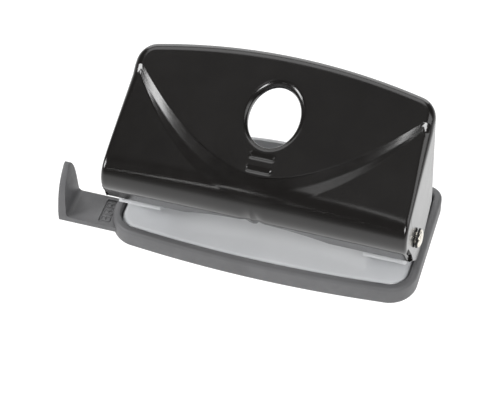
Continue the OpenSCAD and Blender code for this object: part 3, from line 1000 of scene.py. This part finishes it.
@dataclass
class Lever:
    """Pressed sheet lever: rolled front, sloping panel with a raised shield, cheeks and rear flange."""

    half: float = 51.3
    lean: float = 0.03
    lip_z: float = 22.6
    lip_deg: float = 30.0
    nose: tuple[float, float, float] = (-19.1, 36.0, 10.0)
    slope_deg: float = 22.8
    rear: float = 19.5
    bow: float = 3.6
    corner_r: float = 7.0
    flange_z: float = 47.2
    crown: float = 1.3
    sheet: float = 1.0
    bend_lip: float = 1.2
    bend_front: float = 1.5
    bend_rear: float = 3.3
    steps: tuple[float, float] = (0.34, 0.76)
    smile_half: float = 48.5
    smile_foot: tuple[float, float, float] = (-32.0, 37.0, 1.93)
    smile_fold: tuple[float, float, float] = (-27.7, 33.6, 1.90)
    smile_crest: tuple[float, float, float] = (-23.9, 31.6, 1.75)
    arch_half: float = 24.5
    arch_rise: float = 8.0
    nib_z: float = 28.2
    oval_v: float = -2.4
    oval_out: tuple[float, float] = (10.4, 13.0)
    oval_in: tuple[float, float] = (8.4, 10.9)
    slot_v: tuple[float, ...] = (-17.2, -21.8)
    pivot: tuple[float, float] = (-13.5, 24.0)
    hole_r: float = 2.06
    crown_run: float = 9.0
    slot_half: float = 3.4
    slot_depth: float = 0.5
    pinch_s: float = -43.5
    pinch_run: float = 9.5
    pinch_depth: float = 0.6
    middle_x: float = 6.6
    middle_step: float = 0.33
    side_columns: int = 80
    grid_half: float = 50.0
    front_rows: tuple[int, ...] = (14, 58, 7, 7)
    shield_steps: int = 72
    bend_facets: int = 6
    wall_rows: int = 14
    belly: float = 0.36
    corner_z: float = 18.2
    lowest_step: float = 0.6
    collar_fall: float = 1.7
    points: list[Point] = field(default_factory=list)
    faces: list[list[int]] = field(default_factory=list)

    def __post_init__(self) -> None:
        """Works out what follows from the sizes."""
        ny, nz, r = self.nose
        a = math.radians(self.slope_deg)
        self.cos_a, self.sin_a = math.cos(a), math.sin(a)
        self.tangent_y = ny - r * self.sin_a
        self.panel_z0 = nz + r * self.cos_a - self.tangent_y * math.tan(a)
        self.s_tangent = self.tangent_y / self.cos_a
        self.s_straight = self.s_tangent - r * math.radians(90 + self.lip_deg - self.slope_deg)
        under = math.radians(180 + self.lip_deg)
        self.lip_start = (ny + r * math.cos(under), nz + r * math.sin(under))
        drop = self.lip_start[1] - self.lip_z
        self.s_lip = self.s_straight - drop / math.cos(math.radians(self.lip_deg))
        run = self.half - self.corner_r
        slope = 2 * self.bow * (run + 1.1) / run**2
        self.turn = math.pi / 2 - math.atan(slope)
        self.bow_x = run + self.corner_r * math.cos(self.turn)
        self.corner_y = (self.rear - self.bow * (self.bow_x / run) ** 2
                         - self.corner_r * math.sin(self.turn))
        self.side_run = self.corner_y - self.tangent_y
        self.corner_run = self.corner_r * self.turn
        self.whole_run = self.side_run + self.corner_run + self.bow_x

    # Shape of the skin

    def half_at(self, z: float) -> float:
        """Half width of the cheeks at a height."""
        return self.half - self.lean * (z - self.lip_z)

    def profile(self, s: float) -> tuple[float, float, float, float]:
        """Side view of the skin in front of the panel.

        Args:
            s: distance along the skin, which equals the distance up the panel's slope.

        Returns:
            Y, Z and the Y and Z parts of the outward normal.
        """
        ny, nz, r = self.nose
        if s >= self.s_straight:
            a = math.radians(90 + self.slope_deg) + (self.s_tangent - s) / r
            return ny + r * math.cos(a), nz + r * math.sin(a), math.cos(a), math.sin(a)
        a = math.radians(180 + self.lip_deg)
        t = self.s_straight - s
        lip = math.radians(self.lip_deg)
        return (self.lip_start[0] + t * math.sin(lip), self.lip_start[1] - t * math.cos(lip),
                math.cos(a), math.sin(a))

    def relief(self, x: np.ndarray, s: np.ndarray) -> np.ndarray:
        """Height of the skin above its plain form: crown, shield, slots and the pinch above the nib.

        Args:
            x: places across the lever.
            s: distances along the skin.

        Returns:
            Heights along the outward normal.
        """
        across = np.abs(x)
        fade = smooth((s - self.s_tangent + self.crown_run) / self.crown_run)
        height = -self.crown * (x / self.half) ** 2 * fade
        foot, fold, crest = (self.smile(across, line) for line in
                             (self.smile_foot, self.smile_fold, self.smile_crest))
        height = height + self.steps[0] * ramp((s - foot) / (fold - foot))
        height = height + self.steps[1] * ramp((s - fold) / (crest - fold))
        for v in self.slot_v:
            reach = np.hypot(np.maximum(across - self.slot_half, 0.0), s - v)
            height = height - self.slot_depth * (1 - smooth((reach - 0.3) / 0.8))
        up = (s - self.pinch_s) / self.pinch_run
        width = 0.6 + 2.2 * np.clip(1 - up, 0.0, 1.0)
        ridge = np.maximum(1 - across / width, 0.0)
        dent = (1 - smooth((across - 0.5) / 4.0)) * smooth((1 - up) / 0.6) * smooth((s + 47.0) / 2.5)
        return height - self.pinch_depth * dent * (1 - ridge)

    def lift(self, x: float, s: float) -> float:
        """The relief at one place."""
        return float(self.relief(np.array(x), np.array(s)))

    def smile(self, across: np.ndarray, line: tuple[float, float, float]) -> np.ndarray:
        """One of the lines along the edge of the shield.

        Args:
            across: distances from the middle.
            line: its lowest place, its rise to the cheeks and how it bends.

        Returns:
            Distances along the skin.
        """
        low, rise, power = line
        return low + rise * np.minimum(across / self.smile_half, 1.04) ** power

    def panel_point(self, x: float, y: float) -> Point:
        """The point of the skin over a place on the panel.

        Args:
            x: place across.
            y: place along Y.

        Returns:
            The point.
        """
        w = 0.0
        for _ in range(3):
            s = (y + w * self.sin_a) / self.cos_a
            w = self.lift(x, s)
        s = (y + w * self.sin_a) / self.cos_a
        return x, y, self.panel_z0 + s * self.sin_a + w * self.cos_a

    def panel_normal(self, x: float) -> np.ndarray:
        """The plain panel's outward normal, with the crown's tilt.

        Args:
            x: place across.

        Returns:
            The unit normal.
        """
        tilt = 2 * self.crown * x / self.half**2
        normal = np.array([tilt, -self.sin_a, self.cos_a])
        return normal / np.linalg.norm(normal)

    def wall(self, run: float, z: float) -> tuple[np.ndarray, np.ndarray, np.ndarray]:
        """The outside wall on the right half at a distance round it from the front of the panel.

        Args:
            run: distance along the outline, from the front of the cheek to the middle of the rear.
            z: height.

        Returns:
            The place in plan, the outward normal and the direction down the wall.
        """
        r = self.corner_r
        shift = self.half_at(z) - self.half
        base_run = self.half - r
        if run <= self.side_run:
            place, flat = (self.half + shift, self.tangent_y + run), (1.0, 0.0)
        elif run <= self.side_run + self.corner_run:
            a = (run - self.side_run) / r
            flat = (math.cos(a), math.sin(a))
            place = (base_run + shift + r * flat[0], self.corner_y + r * flat[1])
        else:
            left = 1 - (run - self.side_run - self.corner_run) / self.bow_x
            x = self.bow_x * left
            tilt = 2 * self.bow * x / base_run**2
            length = math.hypot(tilt, 1.0)
            flat = (tilt / length, 1 / length)
            place = (x + shift * left, self.rear - self.bow * (x / base_run) ** 2)
        down = np.array([self.lean * flat[0], 0.0, -1.0])
        down /= np.linalg.norm(down)
        normal = np.array([flat[0], flat[1], 0.0])
        normal -= down * float(normal @ down)
        normal /= np.linalg.norm(normal)
        return np.array(place), normal, down

    def bend_radius(self, run: float) -> float:
        """Radius of the bend between panel and wall, growing towards the rear."""
        share = float(smooth(np.array(run / (9.0 - self.tangent_y))))
        return self.bend_front + (self.bend_rear - self.bend_front) * share

    def bend(self, run: float) -> tuple[np.ndarray, np.ndarray, np.ndarray, np.ndarray, float]:
        """Where panel and wall meet on the right half.

        Args:
            run: distance along the outline.

        Returns:
            The panel's last point, its normal, the bend's centre, the wall's normal and the radius.
        """
        r = self.bend_radius(run)
        z = 50.0
        for _ in range(6):
            place, normal, _ = self.wall(run, z)
            top = self.panel_normal(float(place[0]))
            start = place - r * (normal[:2] - top[:2])
            point = np.array(self.panel_point(float(start[0]), float(start[1])))
            centre = point - r * top
            z = float((centre + r * normal)[2])
        return point, top, centre, normal, r

    # Meshing

    def columns(self) -> np.ndarray:
        """Places across the lever as shares of its half width, closer in the middle.

        Returns:
            Shares from -1 at the left cheek to 1 at the right.
        """
        fine = np.arange(0.0, self.middle_x, self.middle_step)
        rest = np.linspace(self.middle_x, self.grid_half, self.side_columns)
        right = np.concatenate([fine, rest]) / self.grid_half
        return np.concatenate([-right[:0:-1], right])

    def rung_knots(self, x: float) -> list[float]:
        """Places along the skin that rows of the mesh keep to: lip, roll and the edge of the shield.

        Args:
            x: place across.

        Returns:
            Distances along the skin, from the lip upwards.
        """
        across = np.array(abs(x))
        lines = (self.smile_foot, self.smile_fold, self.smile_crest)
        return [self.lip_edge(x), self.s_straight] + [float(self.smile(across, line)) for line in lines]

    def side_x(self, s: float) -> float:
        """Half width of the skin between its bends, at a distance along it.

        Args:
            s: distance along the skin.

        Returns:
            The half width.
        """
        if s < self.s_tangent:
            return float(self.front_edge(s)[0][0])
        return float(self.bend(s * self.cos_a - self.tangent_y)[0][0])

    def add(self, point: Sequence[float]) -> int:
        """Adds a point and returns its number."""
        self.points.append((float(point[0]), float(point[1]), float(point[2])))
        return len(self.points) - 1

    def front_edge(self, s: float) -> tuple[np.ndarray, np.ndarray, np.ndarray]:
        """Last point of the rolled front at the right cheek.

        Args:
            s: distance along the skin.

        Returns:
            The point, the bend's centre and the cheek's normal.
        """
        y, z, m, n = self.profile(s)
        top = np.array([0.0, m, n])
        normal = np.array([1.0, 0.0, self.lean])
        normal /= np.linalg.norm(normal)
        reach = normal @ np.array([self.half, 0.0, self.lip_z])
        r = self.lip_bend(s)
        x = (reach - r + r * (normal @ top) - normal[2] * z) / normal[0]
        w = self.lift(x, s)
        point = np.array([x, y + w * m, z + w * n])
        return point, point - r * top, normal

    def lip_bend(self, s: float) -> float:
        """Radius of the bend beside the lip and the rolled front."""
        return float(np.interp(s, [self.s_lip, self.s_tangent], [self.bend_lip, self.bend_front]))

    def lip_edge(self, x: float) -> float:
        """Where the skin ends at a place across, along the skin: the arch and the nib in its middle.

        Args:
            x: place across.

        Returns:
            The distance along the skin.
        """
        across = abs(x)
        rise = self.arch_rise * max(1 - (across / self.arch_half) ** 2, 0.0)
        z = self.lip_z + rise
        if across < 3.2:
            nib = float(smooth(np.array((2.3 - across) / 1.3)))
            z += (self.nib_z - z) * nib
        return self.s_straight - (self.lip_start[1] - z) / math.cos(math.radians(self.lip_deg))

    def skin_rows(self, shares: np.ndarray) -> tuple[list[list[int]], list[float], np.ndarray]:
        """Rows of the skin from the lip to the crest of the shield's edge.

        Args:
            shares: places across.

        Returns:
            The rows of point numbers, the distances along the skin at the cheeks and the last
            row in plan.
        """
        reach = np.linspace(self.s_lip, 12.0, 200)
        widths = [self.side_x(float(s)) for s in reach]
        rows: list[list[int]] = []
        border: list[float] = []
        for part, count in enumerate(self.front_rows):
            for i in range(count + (part == len(self.front_rows) - 1)):
                row = []
                for share in shares:
                    x = share * 49.0
                    for _ in range(4):
                        knots = self.rung_knots(x)
                        s = knots[part] + (knots[part + 1] - knots[part]) * i / count
                        x = share * float(np.interp(s, reach, widths))
                    if abs(share) == 1.0:
                        x = share * self.side_x(s)
                    row.append(self.add(self.skin_point(x, s)))
                rows.append(row)
                border.append(s)
        last = np.array([self.points[k][:2] for k in rows[-1]])
        return rows, border, last

    def skin_point(self, x: float, s: float) -> Point:
        """The point of the skin at a place across and a distance along it.

        Args:
            x: place across.
            s: distance along the skin.

        Returns:
            The point.
        """
        w = self.lift(x, s)
        if s >= self.s_tangent:
            return x, s * self.cos_a - w * self.sin_a, self.panel_z0 + s * self.sin_a + w * self.cos_a
        y, z, m, n = self.profile(s)
        return x, y + w * m, z + w * n

    def shield_rows(self, shares: np.ndarray, first: np.ndarray,
                    start: float) -> tuple[list[list[int]], list[float]]:
        """Rows of the shield, fitted between its edge, the cheeks and the bowed rear.

        Args:
            shares: places across.
            first: the row they start from, in plan.
            start: distance round the outline at which they start.

        Returns:
            The rows of point numbers and their distances round the outline.
        """
        corner = self.side_run + self.corner_run / 2
        ups = np.linspace(0.0, 1.0, self.shield_steps + 1)[1:]
        runs = [start + float(q) * (corner - start) for q in ups]
        side = np.array([self.bend(run)[0][:2] for run in runs])
        back = np.array([
            np.array([math.copysign(1, c), 1])
            * self.bend(corner + (1 - abs(c)) * (self.whole_run - corner))[0][:2]
            for c in shares
        ])
        rows = []
        for q, right in zip(ups, side):
            row = []
            left = right * np.array([-1, 1])
            for j, c in enumerate(shares):
                k = (c + 1) / 2
                spot = (1 - q) * first[j] + q * back[j] + (1 - k) * left + k * right
                spot = spot - ((1 - q) * (1 - k) * first[0] + (1 - q) * k * first[-1]
                               + q * (1 - k) * back[0] + q * k * back[-1])
                row.append(self.add(self.panel_point(float(spot[0]), float(spot[1]))))
            rows.append(row)
        return rows, runs

    def cheek_bottom(self) -> tuple[np.ndarray, np.ndarray]:
        """Lower edge of a cheek as Y and Z, from the lip to the rear corner.

        Returns:
            The points, and how far along the edge each one is, from 0 to 1.
        """
        py, pz = self.pivot
        lip_y = self.profile(self.s_lip)[0]
        low = arc(py + 5.5, pz - 5.5, 8.0, 235, 285, 12)
        knots = [(lip_y, self.lip_z), *low, (py + 13, pz - 10.6), (self.corner_y, self.corner_z)]
        dense = []
        for (a, b), (c, d) in zip(knots, knots[1:]):
            steps = max(int(math.hypot(c - a, d - b) / self.lowest_step), 1)
            dense += [(a + (c - a) * i / steps, b + (d - b) * i / steps) for i in range(steps)]
        dense.append(knots[-1])
        line = np.array(dense)
        run = np.concatenate([[0.0], np.cumsum(np.hypot(*np.diff(line, axis=0).T))])
        return line, run / run[-1]

    def skirt_columns(self, front_s: Sequence[float], panel_runs: Sequence[float]) -> list[dict]:
        """What each place round the right half needs for its bend and wall.

        Args:
            front_s: distances along the skin of the front rows.
            panel_runs: distances round the outline behind them.

        Returns:
            For each place the bend's centre, both normals, radius and the wall's lower point.
        """
        line, share = self.cheek_bottom()
        keys_low = []
        for s in front_s:
            t = (s - self.s_lip) / (self.s_tangent - self.s_lip)
            keys_low.append(self.belly * t)
        for run in panel_runs:
            keys_low.append(self.belly + (1 - self.belly) * min(run / self.side_run, 1.0))
        places = []
        for s in front_s:
            _, centre, normal = self.front_edge(float(s))
            _, _, m, n = self.profile(float(s))
            places.append({"top": np.array([0.0, m, n]), "centre": centre, "wall": normal,
                           "r": self.lip_bend(float(s)), "run": None})
        for run in panel_runs:
            _, top, centre, normal, r = self.bend(float(run))
            places.append({"top": top, "centre": centre, "wall": normal, "r": r, "run": float(run)})
        for place, low in zip(places, keys_low):
            foot = place["centre"] + place["r"] * place["wall"]
            run = place["run"]
            if run is None or run <= self.side_run:
                y, z = (np.interp(low, share, line[:, k]) for k in (0, 1))
                place["low"] = np.array([self.half_at(float(z)), y, z])
                continue
            spot, _, down = self.wall(run, float(foot[2]))
            y = float(spot[1])
            turned = (run - self.side_run) / self.corner_r
            z = self.corner_z + (y - self.corner_y) * (0.51 if y < 14.5 else 1.3)
            cut = float(smooth(np.array((turned - math.radians(70)) / math.radians(7))))
            z += (self.flange_z - z) * cut
            place["low"] = foot + down * (foot[2] - z) / abs(down[2])
        return places

    def skirt(self, border: list[int], places: list[dict], mirror: int) -> list[int]:
        """Bend and wall below a border of the skin.

        Args:
            border: numbers of the skin's last points, from the lip round to the middle of the rear.
            places: what skirt_columns gave for the same places.
            mirror: 1 for the right half and -1 for the left.

        Returns:
            The numbers of the column at the middle of the rear.
        """
        flip = np.array([mirror, 1.0, 1.0])
        bends, walls = self.bend_facets, self.wall_rows
        previous: list[int] = []
        for number, place in zip(border, places):
            column = [number]
            angle = math.acos(max(-1.0, min(1.0, float(place["top"] @ place["wall"]))))
            for i in range(1, bends + 1):
                a = angle * i / bends
                mix = math.sin(angle - a) * place["top"] + math.sin(a) * place["wall"]
                mix = mix / math.sin(angle)
                column.append(self.add((place["centre"] + place["r"] * mix) * flip))
            foot = place["centre"] + place["r"] * place["wall"]
            for i in range(1, walls + 1):
                column.append(self.add((foot + (place["low"] - foot) * i / walls) * flip))
            if previous:
                for k in range(len(column) - 1):
                    quad = [previous[k], column[k], column[k + 1], previous[k + 1]]
                    self.faces.append(quad if mirror < 0 else quad[::-1])
            previous = column
        return previous

    def skin(self) -> bpy.types.Object:
        """The outer skin of the lever, without thickness.

        Returns:
            The skin as an open surface.
        """
        shares = self.columns()
        rows, border_s, last_row = self.skin_rows(shares)
        front_s = [s for s in border_s if s < self.s_tangent]
        side_runs = [s * self.cos_a - self.tangent_y for s in border_s if s >= self.s_tangent]
        shield, shield_runs = self.shield_rows(shares, last_row, side_runs[-1])
        rows += shield
        for lower, upper in zip(rows, rows[1:]):
            for j in range(len(shares) - 1):
                self.faces.append([lower[j], lower[j + 1], upper[j + 1], upper[j]])
        corner = self.side_run + self.corner_run / 2
        middle = len(shares) // 2
        back_runs = [corner + (1 - abs(float(c))) * (self.whole_run - corner) for c in shares]
        for mirror, edge in ((1, -1), (-1, 0)):
            border = [row[edge] for row in rows]
            last = rows[-1]
            across = range(len(shares) - 2, middle - 1, -1) if mirror > 0 else range(1, middle + 1)
            border += [last[j] for j in across]
            runs = side_runs + shield_runs + [back_runs[j] for j in across]
            self.skirt(border, self.skirt_columns(front_s, runs), mirror)
        return new_object("lever_pressing", self.points, self.faces, BLACK_PAINT)

    def open_oval(self, obj: bpy.types.Object) -> None:
        """Opens the finger hole in the skin and draws its collar inwards.

        Args:
            obj: the skin.
        """
        work = bmesh.new()
        work.from_mesh(obj.data)
        bmesh.ops.remove_doubles(work, verts=work.verts, dist=1e-7)
        a, b = self.oval_out
        inside = []
        for vert in work.verts:
            x, y, z = vert.co / MM
            if z < 40 or y < -20:
                continue
            u, v = x / a, (y / self.cos_a - self.oval_v) / b
            if u * u + v * v < 1.05:
                inside.append(vert)
        bmesh.ops.delete(work, geom=inside, context="VERTS")
        rim = {v for e in work.edges if e.is_boundary for v in e.verts
               if v.co.z > 45 * MM and abs(v.co.x) < 14 * MM and v.co.y < 13 * MM}
        turns = {v: math.atan2((v.co.y / MM / self.cos_a - self.oval_v) / b, v.co.x / MM / a)
                 for v in rim}
        loop = sorted(rim, key=lambda v: turns[v])
        angles = [turns[v] for v in loop]
        steps = [(math.sin(t), 1 - math.cos(t)) for t in (math.radians(11.25 * i) for i in range(9))]
        depths = [(share, self.collar_fall * fall) for share, fall in steps] + [(1.0, 2.3), (1.0, 3.0)]
        rings = [loop]
        normal = Vector((0.0, -self.sin_a, self.cos_a))
        for k, (share, fall) in enumerate(depths):
            ring = []
            for vert, angle in zip(loop, angles):
                ra = a + (self.oval_in[0] - a) * share
                rb = b + (self.oval_in[1] - b) * share
                u, v = ra * math.cos(angle), self.oval_v + rb * math.sin(angle)
                ua, va = a * math.cos(angle), self.oval_v + b * math.sin(angle)
                w = self.lift(ua, va)
                spot = Vector((u, v * self.cos_a, self.panel_z0 + v * self.sin_a)) + (w - fall) * normal
                if k == 0:
                    vert.co = spot * MM
                else:
                    ring.append(work.verts.new(spot * MM))
            if k:
                rings.append(ring)
        for upper, lower in zip(rings, rings[1:]):
            count = len(upper)
            for i in range(count):
                j = (i + 1) % count
                work.faces.new((upper[i], upper[j], lower[j], lower[i]))
        bmesh.ops.recalc_face_normals(work, faces=work.faces)
        work.faces.ensure_lookup_table()
        top = max(work.faces, key=lambda f: f.calc_center_median().z)
        if top.normal.z < 0:
            bmesh.ops.reverse_faces(work, faces=work.faces)
        work.to_mesh(obj.data)
        work.free()

    def build(self) -> None:
        """Builds the lever and the plates that push the pins."""
        lever = self.skin()
        self.open_oval(lever)
        thick = lever.modifiers.new("sheet", "SOLIDIFY")
        thick.thickness = self.sheet * MM
        thick.offset = -1.0
        thick.use_rim = True
        settle(lever, 50.0)
        for side in (-1, 1):
            tool = prism("pivot_tool", circle(*self.pivot, self.hole_r),
                         side * 48.0, side * 54.0, along_x, BLACK_PAINT)
            boolean(lever, tool, "DIFFERENCE")
        settle(lever, 50.0)
        hand_over(lever, "lever", "black_paint", "lever")
        for _, name in SIDES:
            refined_copy(f"{name}_press_tab", f"{name}_press_plate", "lever", ZINC_PLATE,
                         "pin_steel", 0.15)


# ---- Stage ----


@dataclass
class Stage:
    """Floor that glows with painted light, soft lights and the camera."""

    azimuth: float = 17.16
    elevation: float = 47.67
    roll: float = -0.53
    distance: float = 645.88
    target: Point = (-9.06, 0.0, 9.11)
    lens: float = 1900.75 / 500 * 36
    # painted light on the floor: distances in metres where the glow starts and stops fading, and its
    # strengths there
    painted_glow: tuple[float, float, float, float] = (0.12, 0.42, 1.02, 0.30)

    def floor(self) -> None:
        """A wide floor whose glow is painted light: brightest close round the object and fading to dim
        grey further out, so the far floor seen in reflections stays dark; its grey base takes the
        contact shadow.
        """
        size = 3000.0
        ground = new_object("studio_floor", [(-size, -size, -0.15), (size, -size, -0.15),
                                             (size, size, -0.15), (-size, size, -0.15)],
                            [[0, 1, 2, 3]], GREY_PAINT)
        # the floor material, whose emission is painted light rather than a lamp
        paper = bpy.data.materials.new("painted_glow_floor")
        paper.use_nodes = True
        tree = paper.node_tree
        shader = tree.nodes["Principled BSDF"]
        shader.inputs["Base Color"].default_value = (0.15, 0.15, 0.15, 1.0)
        shader.inputs["Roughness"].default_value = 0.9
        shader.inputs["Emission Color"].default_value = (1.0, 1.0, 1.0, 1.0)
        spot = tree.nodes.new("ShaderNodeTexCoord")
        centre = tree.nodes.new("ShaderNodeVectorMath")
        centre.operation = "DISTANCE"
        centre.inputs[1].default_value = (0.0, 0.03, 0.0)
        # painted light: emission 1.02 within 0.12 m of the object, falling to 0.30 beyond 0.42 m
        fall = tree.nodes.new("ShaderNodeMapRange")
        fall.interpolation_type = "SMOOTHSTEP"
        for socket, value in zip(("From Min", "From Max", "To Min", "To Max"), self.painted_glow):
            fall.inputs[socket].default_value = value
        tree.links.new(spot.outputs["Object"], centre.inputs[0])
        tree.links.new(centre.outputs["Value"], fall.inputs["Value"])
        tree.links.new(fall.outputs["Result"], shader.inputs["Emission Strength"])
        ground.data.materials.clear()
        ground.data.materials.append(paper)

    def sky(self) -> None:
        """White round the horizon and dim overhead."""
        world = bpy.data.worlds.new("studio")
        bpy.context.scene.world = world
        world.use_nodes = True
        tree = world.node_tree
        back = tree.nodes["Background"]
        way = tree.nodes.new("ShaderNodeTexCoord")
        split = tree.nodes.new("ShaderNodeSeparateXYZ")
        bands = tree.nodes.new("ShaderNodeValToRGB")
        bands.color_ramp.interpolation = "EASE"
        stops = [(0.0, 0.35), (0.30, 0.12), (0.60, 0.06), (0.90, 0.07), (0.97, 0.24)]
        for i, (place, value) in enumerate(stops):
            stop = bands.color_ramp.elements[i] if i < 2 else bands.color_ramp.elements.new(place)
            stop.position = place
            stop.color = (value, value, value, 1.0)
        tree.links.new(way.outputs["Generated"], split.inputs[0])
        tree.links.new(split.outputs["Z"], bands.inputs["Fac"])
        tree.links.new(bands.outputs["Color"], back.inputs["Color"])
        back.inputs["Strength"].default_value = 1.0

    @staticmethod
    def softbox(name: str, place: Point, size: tuple[float, float], watts: float) -> None:
        """An area light that faces the object.

        Args:
            name: name of the light.
            place: its position in metres.
            size: width and height in metres.
            watts: its power.
        """
        data = bpy.data.lights.new(name, "AREA")
        data.shape = "RECTANGLE"
        data.size, data.size_y = size
        data.energy = watts
        lamp = bpy.data.objects.new(name, data)
        bpy.context.scene.collection.objects.link(lamp)
        lamp.visible_camera = False
        lamp.location = place
        aim = Vector((0.0, 0.0, 0.03)) - Vector(place)
        lamp.rotation_euler = aim.to_track_quat("-Z", "Y").to_euler()

    def lights(self) -> None:
        """Softboxes at the sides and behind, and a low strip in front on the left."""
        self.softbox("left_softbox", (-0.776, -0.467, 0.588), (0.40, 0.46), 8.6)
        self.softbox("right_front_softbox", (0.48, -0.63, 0.68), (0.30, 0.36), 5.4)
        self.softbox("right_softbox", (0.88, 0.12, 0.60), (0.40, 0.9), 2.4)
        for name, place in (("left", (-0.02, -0.31, 1.17)), ("right", (0.11, -0.36, 1.15))):
            self.softbox(f"{name}_overhead_softbox", place, (0.13, 0.11), 0.10)
        self.softbox("rear_softbox", (-0.20, 0.98, 0.40), (1.4, 0.7), 6.6)
        self.softbox("high_rear_softbox", (-0.20, 0.52, 1.04), (1.2, 0.56), 4.4)
        self.softbox("front_strip", (-0.25, -0.85, 0.53), (0.11, 0.03), 0.13)

    def camera(self) -> None:
        """The camera at the viewing angle of the object."""
        a, e, roll = (math.radians(v) for v in (self.azimuth, self.elevation, self.roll))
        back = Vector((math.sin(a) * math.cos(e), -math.cos(a) * math.cos(e), math.sin(e)))
        right = Vector((math.cos(a), math.sin(a), 0.0))
        up = back.cross(right)
        right2 = right * math.cos(roll) + up * math.sin(roll)
        up2 = up * math.cos(roll) - right * math.sin(roll)
        data = bpy.data.cameras.new("camera")
        data.lens = self.lens
        data.sensor_width = 36.0
        data.sensor_fit = "HORIZONTAL"
        data.clip_start, data.clip_end = 0.01, 50.0
        lens = bpy.data.objects.new("camera", data)
        bpy.context.scene.collection.objects.link(lens)
        turn = Matrix((right2, up2, back)).transposed()
        spot = (Vector(self.target) + self.distance * back) * MM
        lens.matrix_world = Matrix.Translation(spot) @ turn.to_4x4()
        bpy.context.scene.camera = lens

    def build(self) -> None:
        """Builds the stage."""
        self.floor()
        self.sky()
        self.lights()
        self.camera()
        bpy.context.scene.view_settings.view_transform = "Standard"


def main() -> None:
    """Builds every sub-assembly and the stage."""
    logging.basicConfig(level=logging.INFO, format="%(name)s: %(message)s")
    tray = Tray()
    for part in (tray, PaperGuide(), Base(tray), PunchSet(), Lever(), Stage()):
        part.build()
        log.info("%s is built", type(part).__name__)


if __name__ == "__main__":
    main()
